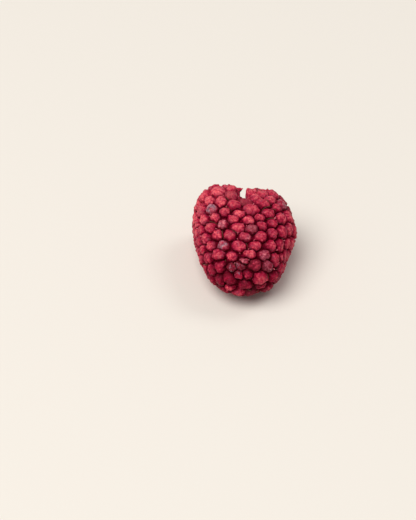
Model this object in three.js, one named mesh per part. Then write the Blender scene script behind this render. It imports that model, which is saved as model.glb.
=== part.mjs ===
// A dried raspberry lying on its side: a hollow thimble of fused drupelets, all one piece.
// Millimetres. +X runs across the berry, +Y from its closed tip to its open rim, and +Z up
// from the surface it rests on.

import * as THREE from "three";
import { ConvexHull } from "three/addons/math/ConvexHull.js";

// Skin between the drupelets, as half-width and place along the berry. It starts at the tip,
// runs out over the side, round the rim and in to the cavity floor.
const OUTLINE = [
  [0, -9.8],
  [2.6, -9.3],
  [4.9, -7.6],
  [6.5, -4.8],
  [7.55, -1.0],
  [8.05, 2.4],
  [7.8, 5.2],
  [7.1, 7.2],
  [5.9, 8.1],
  [4.8, 7.2],
  [4.3, 4.6],
  [4.1, 1.0],
  [2.9, -2.3],
  [0, -3.7],
];
const RIM_POINT = 8;
const STEPS_PER_SPAN = 40;

// The berry is squashed from above; its cavity a little less.
const HEIGHT_TO_WIDTH = 0.76;
const CAVITY_HEIGHT_TO_WIDTH = 0.92;
// How much fuller the squashed section is than an ellipse, halfway between its axes.
const FULLNESS = 0.04;
// Sideways drift of the axis toward the rim.
const RIM_DRIFT = -0.8;
// Turn about X that brings the widest ring of drupelets down under the weight, degrees.
const REST_PITCH = 6;
// How much of the lowest drupelets is pressed flat.
const REST_FLAT = 0.45;

// Drupelets.
const SEED = 20261;
const OUTER_COUNT = 174;
const RIM_COUNT = 17;
const CAVITY_COUNT = 60;
const PITCH = 2.2;
const RIM_STRIP = 1.0;
const OUTER_RISE = 1.0;
const RIM_RISE = 1.35;
const CAVITY_RISE = 0.4;
const RISE_SPREAD = 0.3;
const SIZE_SPREAD = 0.4;
const WANDER = 0.07;
const TIP_LEAN = 0.3;
const CORNER_DEPTH = 0.25;
const ROUND_RADIUS = 1.12;
const FILL = 0.93;

// Over the crown drupelets stand apart. Away from it they crowd: they spread wider, leave
// shallower valleys and lie lower.
const CROWN = new THREE.Vector3(0, -0.72, 0.69);
const CROWN_EDGE = [0.35, 0.9];
const CROWD_SPREAD = 1.25;
const CROWD_FILL = 0.97;
const CROWD_LIFT = 0.5;
const CROWD_SINK = 0.12;

// How the drupelets are spread.
const GOLDEN_ANGLE = Math.PI * (3 - Math.sqrt(5));
const EVEN_SPACING = 0.068;
const SETTLE_PASSES = 30;
const SETTLE_STEP = 0.12;

// Rings of each knob: share of its half-width, and share of its rise.
const SHOULDER = { outer: [0.72, 0.89], rim: [0.88, 0.87], cavity: [0.6, 0.8] };
const EQUATOR = { outer: [1.0, 0.36], rim: [1.08, 0.42] };

// Notch in the top of the rim.
const NOTCH_ANGLE = 81.5;
const NOTCH_HALF_GAP = 12.5;
const NOTCH_DEPTH = 3.7;
const NOTCH_WIDTH = 1.05;
const NOTCH_REACH = 3.4;
// Drupelets on the rim, by how many round they are from the notch: the first hangs over it.
const LIPS = [
  { turn: 0, lean: 0.8, rise: 0.6 },
  { turn: 2, lean: 0, rise: 0.85 },
  { turn: 3, lean: 0, rise: 1.25 },
  { turn: RIM_COUNT - 1, lean: -0.15, rise: 1.5 },
  { turn: RIM_COUNT - 2, lean: 0, rise: 0.6 },
  { turn: RIM_COUNT - 3, lean: 0, rise: 1.15 },
];

// Hollows pressed into the outside, and one swelling: place along the berry, angle round
// it, depth and radius.
const HOLLOWS = [
  { along: -8.6, angle: 115, depth: 0.6, radius: 2.4 },
  { along: -9.8, angle: 90, depth: 0.4, radius: 1.6 },
  { along: 7.5, angle: 122, depth: -0.5, radius: 3.0 },
  { along: 7.6, angle: 66, depth: 0.8, radius: 2.4 },
  { along: -4.0, angle: 12, depth: 0.65, radius: 3.0 },
];

// Drupelets unlike their neighbours: swollen, or dried out and sunken.
const ODD = [
  { along: -8.6, angle: 38, size: 1.45, rise: 1.1 },
  { along: 2.1, angle: 75, size: 1.3, rise: 1.0 },
  { along: -6.0, angle: 99, size: 1.15, rise: 1.0 },
  { along: -7.8, angle: 116, size: 0.85, rise: 0.5 },
  { along: -8.2, angle: 98, size: 0.85, rise: 0.55 },
  { along: 2.7, angle: 89, size: 1.1, rise: 0.6 },
  { along: 4.3, angle: 87, size: 1.1, rise: 0.4 },
  { along: 7.2, angle: 88, size: 0.85, rise: 0.25 },
];

const radians = THREE.MathUtils.degToRad;

function makeRandom(seed) {
  let state = seed;
  return () => {
    state = (Math.imul(state, 1664525) + 1013904223) >>> 0;
    return state / 4294967296;
  };
}

// The outline as short steps: running length, running area, and the polar angle that
// spreads the skin over a ball without shearing it.
function measureOutline() {
  const corners = OUTLINE.map(([halfWidth, along]) => new THREE.Vector2(halfWidth, along));
  const steps = (OUTLINE.length - 1) * STEPS_PER_SPAN;
  const rimStep = RIM_POINT * STEPS_PER_SPAN;
  const points = new THREE.SplineCurve(corners).getPoints(steps);
  const rows = points.map((point, i) => {
    const inward = THREE.MathUtils.smoothstep(i, rimStep, steps);
    const squash = THREE.MathUtils.lerp(HEIGHT_TO_WIDTH, CAVITY_HEIGHT_TO_WIDTH, inward);
    return { halfWidth: point.x, along: point.y, squash, length: 0, area: 0, stretch: 0 };
  });
  for (let i = 1; i < rows.length; i += 1) {
    const before = rows[i - 1];
    const here = rows[i];
    const step = points[i].distanceTo(points[i - 1]);
    const roundness = Math.sqrt((1 + here.squash * here.squash) / 2);
    const radius = ((before.halfWidth + here.halfWidth) / 2) * roundness;
    here.length = before.length + step;
    here.area = before.area + 2 * Math.PI * radius * step;
    here.stretch = before.stretch + step / radius;
  }
  const middle = rows[rimStep].stretch;
  for (const row of rows) {
    row.polar = 2 * Math.atan(Math.exp(row.stretch - middle));
  }
  rows[0].polar = 0;
  rows[steps].polar = Math.PI;
  return rows;
}

const rows = measureOutline();
const rim = rows[RIM_POINT * STEPS_PER_SPAN];
const end = rows[rows.length - 1];

// The outline's step where one of its running measures reaches a value.
function rowWhere(measure, value) {
  let low = 0;
  let high = rows.length - 1;
  while (high - low > 1) {
    const middle = (low + high) >> 1;
    if (rows[middle][measure] <= value) {
      low = middle;
    } else {
      high = middle;
    }
  }
  const from = rows[low];
  const to = rows[high];
  const share = THREE.MathUtils.clamp((value - from[measure]) / (to[measure] - from[measure]), 0, 1);
  const row = {};
  for (const key of Object.keys(from)) {
    row[key] = from[key] + (to[key] - from[key]) * share;
  }
  return row;
}

function sectionPoint(row, angle) {
  const corner = Math.sin(2 * angle);
  const halfWidth = row.halfWidth * (1 + FULLNESS * corner * corner);
  const drift = RIM_DRIFT * THREE.MathUtils.smoothstep(row.along, 1, 9);
  return new THREE.Vector3(
    halfWidth * Math.cos(angle) + drift,
    row.along,
    halfWidth * row.squash * Math.sin(angle),
  );
}

function skinPoint(row, angle) {
  const point = sectionPoint(row, angle);
  if (row.length < rim.length) {
    for (const hollow of HOLLOWS) {
      const deepest = sectionPoint(outsideRow(hollow.along), radians(hollow.angle));
      const away = point.distanceTo(deepest) / hollow.radius;
      const share = (hollow.depth * Math.exp(-away * away)) / point.length();
      point.multiplyScalar(1 - share);
    }
  }
  return point;
}

// How far the notch sets the skin back from the rim.
function notchDepth(row, angle) {
  if (Math.sin(angle) < 0) {
    return 0;
  }
  const across = (row.halfWidth * Math.sin(angle - radians(NOTCH_ANGLE))) / NOTCH_WIDTH;
  const fromRim = (row.length - rim.length) / NOTCH_REACH;
  return NOTCH_DEPTH * Math.exp(-(across ** 4) - fromRim * fromRim);
}

// A named place on the outside, from how far along the berry and how far round it is.
function outsideRow(along) {
  let best = rows[0];
  for (const row of rows) {
    if (row.length < rim.length && Math.abs(row.along - along) < Math.abs(best.along - along)) {
      best = row;
    }
  }
  return best;
}

function ballPoint(row, angle) {
  const out = Math.sin(row.polar);
  return new THREE.Vector3(out * Math.cos(angle), -Math.cos(row.polar), out * Math.sin(angle));
}

function skinUnder(ball, notched = true) {
  const row = rowWhere("polar", Math.acos(THREE.MathUtils.clamp(-ball.y, -1, 1)));
  const angle = Math.atan2(ball.z, ball.x);
  const point = skinPoint(row, angle);
  if (notched) {
    point.y -= notchDepth(row, angle);
  }
  return point;
}

// Angle round the berry that keeps equal steps equally long on the squashed section.
function evenAngle(angle) {
  return angle + EVEN_SPACING * Math.sin(2 * angle);
}

// Drupelets follow a golden-angle spiral from the tip to the rim, and another from the
// cavity floor out to it, with one ring of them along the rim itself. Those outside wander
// a little off their spiral.
function placeCells() {
  const random = makeRandom(SEED);
  const cells = [];
  const add = (row, angle, kind) => {
    const size = 1 + SIZE_SPREAD * (random() - 0.5);
    const rise = 1 + RISE_SPREAD * (random() - 0.5);
    const lean = new THREE.Vector3(random() - 0.5, random() - 0.5, random() - 0.5);
    lean.multiplyScalar(TIP_LEAN);
    const wander = new THREE.Vector3(random() - 0.5, random() - 0.5, random() - 0.5);
    const ball = ballPoint(row, angle);
    if (kind === "outer") {
      ball.addScaledVector(wander, WANDER).normalize();
    }
    cells.push({ ball, kind, size, rise, lean });
  };
  const outerArea = rowWhere("length", rim.length - RIM_STRIP).area;
  for (let i = 0; i < OUTER_COUNT; i += 1) {
    const row = rowWhere("area", (outerArea * (i + 0.5)) / OUTER_COUNT);
    add(row, evenAngle(i * GOLDEN_ANGLE), "outer");
  }
  const arc = 2 * Math.PI - 2 * radians(NOTCH_HALF_GAP);
  for (let i = 0; i < RIM_COUNT; i += 1) {
    const turn = radians(NOTCH_ANGLE + NOTCH_HALF_GAP) + (arc * i) / (RIM_COUNT - 1);
    const row = rowWhere("length", rim.length + (i % 2 ? 0.12 : -0.12));
    add(row, evenAngle(turn), "rim");
  }
  const cavityArea = end.area - rowWhere("length", rim.length + RIM_STRIP).area;
  for (let i = 0; i < CAVITY_COUNT; i += 1) {
    const row = rowWhere("area", end.area - (cavityArea * (i + 0.5)) / CAVITY_COUNT);
    add(row, evenAngle(i * GOLDEN_ANGLE), "cavity");
  }
  for (const lip of LIPS) {
    const cell = cells[OUTER_COUNT + lip.turn];
    cell.lean.set(lip.lean, 0, 0);
    cell.rise = lip.rise;
    cell.size = 1;
  }
  for (const odd of ODD) {
    const place = ballPoint(outsideRow(odd.along), radians(odd.angle));
    const nearest = cells.reduce((a, b) => (
      a.ball.distanceTo(place) < b.ball.distanceTo(place) ? a : b
    ));
    nearest.size = odd.size;
    nearest.rise = odd.rise;
  }
  return cells;
}

// Triangles between neighbouring drupelets, counter-clockwise seen from outside.
function neighbourTriangles(cells) {
  const order = new Map(cells.map((cell, i) => [cell.ball, i]));
  const hull = new ConvexHull().setFromPoints(cells.map((cell) => cell.ball));
  return hull.faces.map((face) => {
    const first = face.edge;
    return [first, first.next, first.next.next].map((edge) => order.get(edge.head().point));
  });
}

// The point between drupelets, nearer to the smaller ones.
function between(cells, members) {
  const sum = new THREE.Vector3();
  for (const i of members) {
    sum.addScaledVector(cells[i].ball, 1 / cells[i].size);
  }
  return sum.normalize();
}

// Neighbours of each drupelet in order round it.
function neighbourRings(cells, triangles) {
  const following = cells.map(() => new Map());
  for (const [a, b, c] of triangles) {
    following[a].set(b, c);
    following[b].set(c, a);
    following[c].set(a, b);
  }
  return following.map((next) => {
    const ring = [next.keys().next().value];
    while (ring.length < next.size) {
      ring.push(next.get(ring[ring.length - 1]));
    }
    return ring;
  });
}

// Neighbours push apart or draw together until each pair is as far apart as its sizes ask.
function settle(cells) {
  for (let pass = 0; pass < SETTLE_PASSES; pass += 1) {
    const rings = neighbourRings(cells, neighbourTriangles(cells));
    const places = cells.map((cell) => skinUnder(cell.ball));
    const moved = cells.map((cell, i) => {
      const sum = cell.ball.clone();
      for (const j of rings[i]) {
        const wanted = (PITCH * (cell.size + cells[j].size)) / 2;
        const push = wanted / places[i].distanceTo(places[j]) - 1;
        const away = cell.ball.clone().sub(cells[j].ball);
        sum.addScaledVector(away, SETTLE_STEP * push);
      }
      return sum.normalize();
    });
    cells.forEach((cell, i) => {
      if (cell.kind !== "rim") {
        cell.ball.copy(moved[i]);
      }
    });
  }
}

// How closely drupelets crowd: not at all over the crown, fully behind it.
function crowding(ball) {
  return 1 - THREE.MathUtils.smoothstep(ball.dot(CROWN), ...CROWN_EDGE);
}

function riseOf(cell) {
  const rises = { outer: OUTER_RISE, rim: RIM_RISE, cavity: CAVITY_RISE };
  const sink = cell.kind === "outer" ? CROWD_SINK * crowding(cell.ball) : 0;
  return rises[cell.kind] * cell.rise * (1 - sink);
}

// One closed surface: every drupelet is a knob whose edge is shared with its neighbours.
function buildSurface(cells) {
  const rings = neighbourRings(cells, neighbourTriangles(cells));
  const points = [];
  const faces = [];
  const shared = new Map();
  const addPoint = (point) => points.push(point) - 1;
  const edgePoint = (members) => {
    const key = [...members].sort((a, b) => a - b).join();
    if (!shared.has(key)) {
      const ball = between(cells, members);
      const index = addPoint(skinUnder(ball));
      const isCorner = members.length === 3;
      shared.set(key, { ball, index, isCorner, whole: skinUnder(ball, false) });
    }
    return shared.get(key);
  };

  // A knob stands square to its patch of skin, as that lies before it is notched.
  cells.forEach((cell, i) => {
    const edge = rings[i].flatMap((j, k) => {
      const next = rings[i][(k + 1) % rings[i].length];
      return [edgePoint([i, j]), edgePoint([i, j, next])];
    });
    cell.whole = skinUnder(cell.ball, false);
    const spokes = edge.map(({ whole }) => whole.clone().sub(cell.whole));
    cell.up = new THREE.Vector3();
    spokes.forEach((spoke, k) => {
      cell.up.add(spoke.clone().cross(spokes[(k + 1) % spokes.length]));
    });
    cell.up.normalize();
    cell.centre = skinUnder(cell.ball);
    cell.edge = edge;
  });

  // The valleys run deepest where three drupelets meet, and shallow where they crowd.
  const upAt = new Map();
  for (const cell of cells) {
    for (const place of cell.edge) {
      upAt.set(place, (upAt.get(place) ?? new THREE.Vector3()).add(cell.up));
    }
  }
  for (const [place, up] of upAt) {
    const nearRim = THREE.MathUtils.smoothstep(-place.ball.y, -0.2, 0);
    const lift = CROWD_LIFT * crowding(place.ball) * nearRim;
    up.normalize().multiplyScalar(lift - (place.isCorner ? CORNER_DEPTH : 0));
    points[place.index].add(up);
    place.whole.add(up);
  }

  for (const cell of cells) {
    const rise = riseOf(cell);
    const crowd = cell.kind === "outer" ? crowding(cell.ball) : 0;
    const roundRadius = ROUND_RADIUS * cell.size * (1 + (CROWD_SPREAD - 1) * crowd);
    const fill = FILL + (CROWD_FILL - FILL) * crowd;
    const edge = cell.edge.map(({ index }) => index);
    const sides = edge.length / 2;
    const tilt = cell.lean.clone().projectOnPlane(cell.up);
    const onKnob = ({ whole }, [out, up]) => {
      const spoke = whole.clone().sub(cell.whole);
      const drop = spoke.dot(cell.up);
      const flat = spoke.projectOnPlane(cell.up);
      const reach = Math.min(roundRadius, flat.length() * fill) * out;
      return cell.centre.clone()
        .add(flat.setLength(reach))
        .addScaledVector(cell.up, drop * out * out + rise * up)
        .addScaledVector(tilt, rise * up);
    };
    const top = cell.centre.clone().addScaledVector(cell.up, rise).addScaledVector(tilt, rise);
    const apex = addPoint(top);
    const shoulder = cell.edge.filter((_, k) => k % 2 === 1)
      .map((corner) => addPoint(onKnob(corner, SHOULDER[cell.kind])));
    const foot = cell.kind === "cavity"
      ? edge
      : cell.edge.map((place) => addPoint(onKnob(place, EQUATOR[cell.kind])));
    for (let k = 0; k < sides; k += 1) {
      const s = shoulder[k];
      const sNext = shoulder[(k + 1) % sides];
      const f0 = foot[2 * k];
      const f1 = foot[2 * k + 1];
      const f2 = foot[(2 * k + 2) % (2 * sides)];
      faces.push([apex, s, sNext], [s, f0, f1], [s, f1, f2], [s, f2, sNext]);
    }
    if (foot === edge) {
      continue;
    }
    for (let k = 0; k < edge.length; k += 1) {
      const after = (k + 1) % edge.length;
      faces.push([foot[k], edge[k], edge[after]], [foot[k], edge[after], foot[after]]);
    }
  }
  return { points, faces };
}

// Turned to its resting attitude, centred, and pressed flat where it touches down.
function setDown(points) {
  const turn = new THREE.Matrix4().makeRotationX(radians(REST_PITCH));
  points.forEach((point) => point.applyMatrix4(turn));
  const box = new THREE.Box3().setFromPoints(points);
  const middle = box.getCenter(new THREE.Vector3());
  const floor = box.min.z + REST_FLAT;
  for (const point of points) {
    point.x -= middle.x;
    point.y -= middle.y;
    point.z = Math.max(point.z - floor, 0);
  }
}

function makeBerry() {
  const cells = placeCells();
  settle(cells);
  const { points, faces } = buildSurface(cells);
  setDown(points);
  const geometry = new THREE.BufferGeometry().setFromPoints(points);
  geometry.setIndex(faces.flat());
  geometry.computeVertexNormals();
  const material = new THREE.MeshStandardMaterial({ color: 0xc2344a, roughness: 0.5 });
  const berry = new THREE.Mesh(geometry, material);
  berry.name = "berry";
  return berry;
}

const part = new THREE.Group();
part.add(makeBerry());

export default part;
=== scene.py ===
"""A dried raspberry on its side: its solid rebuilt finely, with colour, wrinkles and styles."""
import math

import bpy
import numpy as np
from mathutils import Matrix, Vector, noise


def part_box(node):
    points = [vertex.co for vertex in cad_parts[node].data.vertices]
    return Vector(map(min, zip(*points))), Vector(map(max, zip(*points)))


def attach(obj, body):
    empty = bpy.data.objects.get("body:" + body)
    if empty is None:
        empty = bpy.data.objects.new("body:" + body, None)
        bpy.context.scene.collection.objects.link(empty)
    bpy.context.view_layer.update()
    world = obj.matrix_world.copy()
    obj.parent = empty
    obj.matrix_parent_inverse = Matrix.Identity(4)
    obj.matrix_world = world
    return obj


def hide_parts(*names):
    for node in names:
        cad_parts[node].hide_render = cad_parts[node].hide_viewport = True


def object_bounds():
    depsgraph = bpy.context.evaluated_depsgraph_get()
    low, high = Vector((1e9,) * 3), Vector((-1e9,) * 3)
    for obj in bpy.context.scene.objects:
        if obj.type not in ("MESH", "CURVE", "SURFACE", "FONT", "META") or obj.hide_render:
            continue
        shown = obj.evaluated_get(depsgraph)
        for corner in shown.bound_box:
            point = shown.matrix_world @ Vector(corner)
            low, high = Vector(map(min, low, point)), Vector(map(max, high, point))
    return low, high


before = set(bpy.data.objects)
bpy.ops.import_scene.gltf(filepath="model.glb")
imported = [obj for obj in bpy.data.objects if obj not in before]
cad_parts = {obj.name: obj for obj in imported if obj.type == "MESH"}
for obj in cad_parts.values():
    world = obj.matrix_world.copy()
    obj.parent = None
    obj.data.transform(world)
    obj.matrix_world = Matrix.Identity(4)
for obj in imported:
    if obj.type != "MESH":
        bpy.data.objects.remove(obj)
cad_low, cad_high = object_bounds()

# The berry is in millimetres and degrees: X across it, Y from tip to rim, Z up. A place is
# how far along Y a thing is, and its angle goes round Y, from X to Z.
MM = 0.001


# ---- The solid's own dimensions ----

# Skin between the drupelets, as half-width and place along the berry. It starts at the tip,
# runs out over the side, round the rim and in to the cavity floor.
OUTLINE = np.array([
    (0, -9.8), (2.6, -9.3), (4.9, -7.6), (6.5, -4.8), (7.55, -1.0), (8.05, 2.4), (7.8, 5.2),
    (7.1, 7.2), (5.9, 8.1), (4.8, 7.2), (4.3, 4.6), (4.1, 1.0), (2.9, -2.3), (0, -3.7),
], float)
RIM_POINT = 8
STEPS_PER_SPAN = 40

# The berry is squashed from above; its cavity a little less.
HEIGHT_TO_WIDTH = 0.76
CAVITY_HEIGHT_TO_WIDTH = 0.92
# How much fuller the squashed section is than an ellipse, halfway between its axes.
FULLNESS = 0.04
# Sideways drift of the axis toward the rim, and the stretch over which it sets in.
RIM_DRIFT = -0.8
DRIFT_SPAN = (1, 9)
# Turn about X that brings the widest ring of drupelets down under the weight.
REST_PITCH = 6
# How much of the lowest drupelets is pressed flat.
REST_FLAT = 0.45

# Drupelets.
SEED = 20261
OUTER_COUNT = 174
RIM_COUNT = 17
CAVITY_COUNT = 60
PITCH = 2.2
RIM_STRIP = 1.0
RIM_ZIGZAG = 0.12
RISE = {"outer": 1.0, "rim": 1.35, "cavity": 0.4}
RISE_SPREAD = 0.3
SIZE_SPREAD = 0.4
WANDER = 0.07
TIP_LEAN = 0.3
CORNER_DEPTH = 0.25
ROUND_RADIUS = 1.12
FILL = 0.93

# Over the crown drupelets stand apart. Away from it they crowd: they spread wider, leave
# shallower valleys and lie lower. Past the rim the valleys are no longer lifted.
CROWN = (0, -0.72, 0.69)
CROWN_EDGE = (0.35, 0.9)
CROWD_SPREAD = 1.25
CROWD_FILL = 0.97
CROWD_LIFT = 0.5
LIFT_EDGE = (-0.2, 0)
CROWD_SINK = 0.12

# How the drupelets are spread.
GOLDEN_ANGLE = math.pi * (3 - math.sqrt(5))
EVEN_SPACING = 0.068
SETTLE_PASSES = 30
SETTLE_STEP = 0.12

# Rings of each knob: share of its half-width, and share of its rise.
SHOULDER = {"outer": (0.72, 0.89), "rim": (0.88, 0.87), "cavity": (0.6, 0.8)}
EQUATOR = {"outer": (1.0, 0.36), "rim": (1.08, 0.42)}

# Notch in the top of the rim.
NOTCH_ANGLE = 81.5
NOTCH_HALF_GAP = 12.5
NOTCH_DEPTH = 3.7
NOTCH_WIDTH = 1.05
NOTCH_REACH = 3.4
# Drupelets beside the notch: how many round the rim from it, lean across it, rise.
LIPS = [
    (0, 0.8, 0.6), (2, 0.0, 0.85), (3, 0.0, 1.25), (-1, -0.15, 1.5), (-2, 0.0, 0.6),
    (-3, 0.0, 1.15),
]

# Hollows pressed into the outside, and one swelling: place, angle, depth, radius.
HOLLOWS = [
    (-8.6, 115, 0.6, 2.4), (-9.8, 90, 0.4, 1.6), (7.5, 122, -0.5, 3.0), (7.6, 66, 0.8, 2.4),
    (-4.0, 12, 0.65, 3.0),
]

# Drupelets unlike their neighbours, swollen or sunken: place, angle, size, rise.
ODD = [
    (-8.6, 38, 1.45, 1.1), (2.1, 75, 1.3, 1.0), (-6.0, 99, 1.15, 1.0), (-7.8, 116, 0.85, 0.5),
    (-8.2, 98, 0.85, 0.55), (2.7, 89, 1.1, 0.6), (4.3, 87, 1.1, 0.4), (7.2, 88, 0.85, 0.25),
]

# How far the rule's size may lie from the solid's, in metres.
SIZE_TOLERANCE = 2e-5


# ---- The skin under the drupelets ----

def smoothstep(x, low, high):
    t = np.clip((np.asarray(x, float) - low) / (high - low), 0, 1)
    return t * t * (3 - 2 * t)


def unit(v):
    return v / np.linalg.norm(v, axis=-1, keepdims=True)


def spline_points(places):
    """Points of a Catmull-Rom curve through the outline, at places counted in its spans."""
    last = len(OUTLINE) - 1
    start = np.floor(places).astype(int)
    t = (places - start)[:, None]
    p0, p1, p2, p3 = (OUTLINE[np.clip(start + k, 0, last)] for k in (-1, 0, 1, 2))
    v0, v1 = (p2 - p0) * 0.5, (p3 - p1) * 0.5
    cubic = 2 * p1 - 2 * p2 + v0 + v1
    square = -3 * p1 + 3 * p2 - 2 * v0 - v1
    return cubic * t**3 + square * t**2 + v0 * t + p1


def measure_outline():
    """The outline as short steps: running length, running area, and the polar angle that
    spreads the skin over a ball without shearing it."""
    spans = len(OUTLINE) - 1
    steps = spans * STEPS_PER_SPAN
    rim_step = RIM_POINT * STEPS_PER_SPAN
    points = spline_points(spans * (np.arange(steps + 1) / steps))
    half_width, along = points.T
    inward = smoothstep(np.arange(steps + 1), rim_step, steps)
    squash = HEIGHT_TO_WIDTH + (CAVITY_HEIGHT_TO_WIDTH - HEIGHT_TO_WIDTH) * inward
    step = np.linalg.norm(np.diff(points, axis=0), axis=1)
    roundness = np.sqrt((1 + squash[1:] ** 2) / 2)
    radius = (half_width[1:] + half_width[:-1]) / 2 * roundness
    length, area, stretch = (
        np.concatenate([[0], np.cumsum(part)])
        for part in (step, 2 * math.pi * radius * step, step / radius)
    )
    polar = 2 * np.arctan(np.exp(stretch - stretch[rim_step]))
    polar[0], polar[-1] = 0, math.pi
    return {
        "half_width": half_width, "along": along, "squash": squash,
        "length": length, "area": area, "polar": polar,
    }


rows = measure_outline()
rim_length = rows["length"][RIM_POINT * STEPS_PER_SPAN]


def row_where(measure, value):
    """The outline where one of its running measures reaches each value."""
    known = rows[measure]
    low = np.clip(np.searchsorted(known, value, side="right") - 1, 0, len(known) - 2)
    share = np.clip((value - known[low]) / (known[low + 1] - known[low]), 0, 1)
    return {key: row[low] + (row[low + 1] - row[low]) * share for key, row in rows.items()}


def outside_row(along):
    """The outside of the outline, nearest to a place."""
    outside = rows["length"] < rim_length
    nearest = np.argmin(np.where(outside, np.abs(rows["along"] - along), np.inf))
    return {key: row[nearest] for key, row in rows.items()}


def section_point(row, angle):
    corner = np.sin(2 * angle)
    half_width = row["half_width"] * (1 + FULLNESS * corner * corner)
    drift = RIM_DRIFT * smoothstep(row["along"], *DRIFT_SPAN)
    x = half_width * np.cos(angle) + drift
    z = half_width * row["squash"] * np.sin(angle)
    return np.stack(np.broadcast_arrays(x, row["along"], z), -1)


def skin_point(row, angle):
    """A point of the section, moved by the hollows if it lies on the outside."""
    point = section_point(row, angle)
    outside = (row["length"] < rim_length)[..., None]
    for along, turn, depth, radius in HOLLOWS:
        deepest = section_point(outside_row(along), math.radians(turn))
        away = np.linalg.norm(point - deepest, axis=-1, keepdims=True) / radius
        share = depth * np.exp(-away * away) / np.linalg.norm(point, axis=-1, keepdims=True)
        point = np.where(outside, point * (1 - share), point)
    return point


def notch_depth(row, angle):
    """How far the notch sets the skin back from the rim."""
    across = row["half_width"] * np.sin(angle - math.radians(NOTCH_ANGLE)) / NOTCH_WIDTH
    from_rim = (row["length"] - rim_length) / NOTCH_REACH
    depth = NOTCH_DEPTH * np.exp(-(across**4) - from_rim * from_rim)
    return np.where(np.sin(angle) < 0, 0, depth)


def ball_point(row, angle):
    out = np.sin(row["polar"])
    return np.stack([out * np.cos(angle), -np.cos(row["polar"]), out * np.sin(angle)], -1)


def ball_place(along, angle):
    """Where on the ball a place and angle on the outside lie."""
    return ball_point(outside_row(along), math.radians(angle))


def skin_under(ball, notched=True):
    row = row_where("polar", np.arccos(np.clip(-ball[..., 1], -1, 1)))
    angle = np.arctan2(ball[..., 2], ball[..., 0])
    point = skin_point(row, angle)
    if notched:
        point[..., 1] -= notch_depth(row, angle)
    return point


# ---- Where the drupelets stand ----

def make_random(seed):
    """Draws from 0 to 1 by a linear congruential rule, the same as the solid's."""
    state = seed

    def draw():
        nonlocal state
        state = (state * 1664525 + 1013904223) & 0xFFFFFFFF
        return state / 4294967296

    return draw


def even_angle(angle):
    """Angle that keeps equal steps equally long round the squashed section."""
    return angle + EVEN_SPACING * math.sin(2 * angle)


def place_cells():
    """Drupelets on a golden-angle spiral from the tip to the rim, on another from the cavity
    floor out to it, and in a ring along the rim itself."""
    draw = make_random(SEED)
    cells = []

    def add(row, angle, kind):
        size = 1 + SIZE_SPREAD * (draw() - 0.5)
        rise = 1 + RISE_SPREAD * (draw() - 0.5)
        lean = np.array([draw() - 0.5 for _ in range(3)]) * TIP_LEAN
        wander = np.array([draw() - 0.5 for _ in range(3)]) * WANDER
        place = ball_point(row, angle)
        if kind == "outer":
            place = unit(place + wander)
        cells.append({"ball": place, "kind": kind, "size": size, "rise": rise, "lean": lean})

    def add_spiral(kind, count, start, area):
        for i in range(count):
            row = row_where("area", start + area * (i + 0.5) / count)
            add(row, even_angle(i * GOLDEN_ANGLE), kind)

    outer_area = row_where("length", rim_length - RIM_STRIP)["area"]
    add_spiral("outer", OUTER_COUNT, 0, outer_area)
    arc = 2 * math.pi - 2 * math.radians(NOTCH_HALF_GAP)
    for i in range(RIM_COUNT):
        turn = math.radians(NOTCH_ANGLE + NOTCH_HALF_GAP) + arc * i / (RIM_COUNT - 1)
        row = row_where("length", rim_length + (RIM_ZIGZAG if i % 2 else -RIM_ZIGZAG))
        add(row, even_angle(turn), "rim")
    whole_area = rows["area"][-1]
    inner_area = row_where("length", rim_length + RIM_STRIP)["area"]
    add_spiral("cavity", CAVITY_COUNT, whole_area, inner_area - whole_area)
    return cells


def nearest_cell(cells, along, angle):
    place = ball_place(along, angle)
    return int(np.argmin([np.linalg.norm(cell["ball"] - place) for cell in cells]))


def set_odd_cells(cells):
    """Gives drupelets unlike their neighbours a size and rise of their own."""
    for turn, lean, rise in LIPS:
        cells[OUTER_COUNT + turn % RIM_COUNT].update(
            lean=np.array([lean, 0, 0]), rise=rise, size=1.0
        )
    for along, angle, size, rise in ODD:
        cells[nearest_cell(cells, along, angle)].update(size=size, rise=rise)


def neighbour_triangles(ball):
    """The hull of points on a ball, grown a point at a time, facing outward."""
    # It starts from the tip, the cavity floor and two places across the rim.
    first = [0, len(ball) - 1, OUTER_COUNT, OUTER_COUNT + RIM_COUNT // 2 + 2]
    a, b, c, d = first
    if np.dot(np.cross(ball[b] - ball[a], ball[c] - ball[a]), ball[d] - ball[a]) > 0:
        b, c = c, b
    faces = np.array([(a, b, c), (a, c, d), (a, d, b), (b, d, c)])
    for p in range(len(ball)):
        if p in first:
            continue
        corner = ball[faces[:, 0]]
        normal = np.cross(ball[faces[:, 1]] - corner, ball[faces[:, 2]] - corner)
        seen = ((ball[p] - corner) * normal).sum(1) > 0
        edges = {
            (u, v)
            for f in faces[seen].tolist()
            for u, v in ((f[0], f[1]), (f[1], f[2]), (f[2], f[0]))
        }
        fresh = [(u, v, p) for u, v in edges if (v, u) not in edges]
        faces = np.concatenate([faces[~seen], np.array(fresh)])
    return faces


def settle(cells):
    """Neighbours push apart or draw together until each pair is as far apart as its sizes
    ask. Gives back the triangles between them."""
    ball = np.array([cell["ball"] for cell in cells])
    size = np.array([cell["size"] for cell in cells])
    free = np.array([cell["kind"] != "rim" for cell in cells])
    for _ in range(SETTLE_PASSES):
        faces = neighbour_triangles(ball)
        pairs = np.concatenate([faces[:, [0, 1]], faces[:, [1, 2]], faces[:, [2, 0]]])
        i, j = pairs.T
        place = skin_under(ball)
        wanted = PITCH * (size[i] + size[j]) / 2
        push = wanted / np.linalg.norm(place[i] - place[j], axis=1) - 1
        moved = ball.copy()
        np.add.at(moved, i, (ball[i] - ball[j]) * (SETTLE_STEP * push)[:, None])
        ball[free] = unit(moved)[free]
    for cell, place in zip(cells, ball):
        cell["ball"] = place
    return neighbour_triangles(ball)


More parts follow.
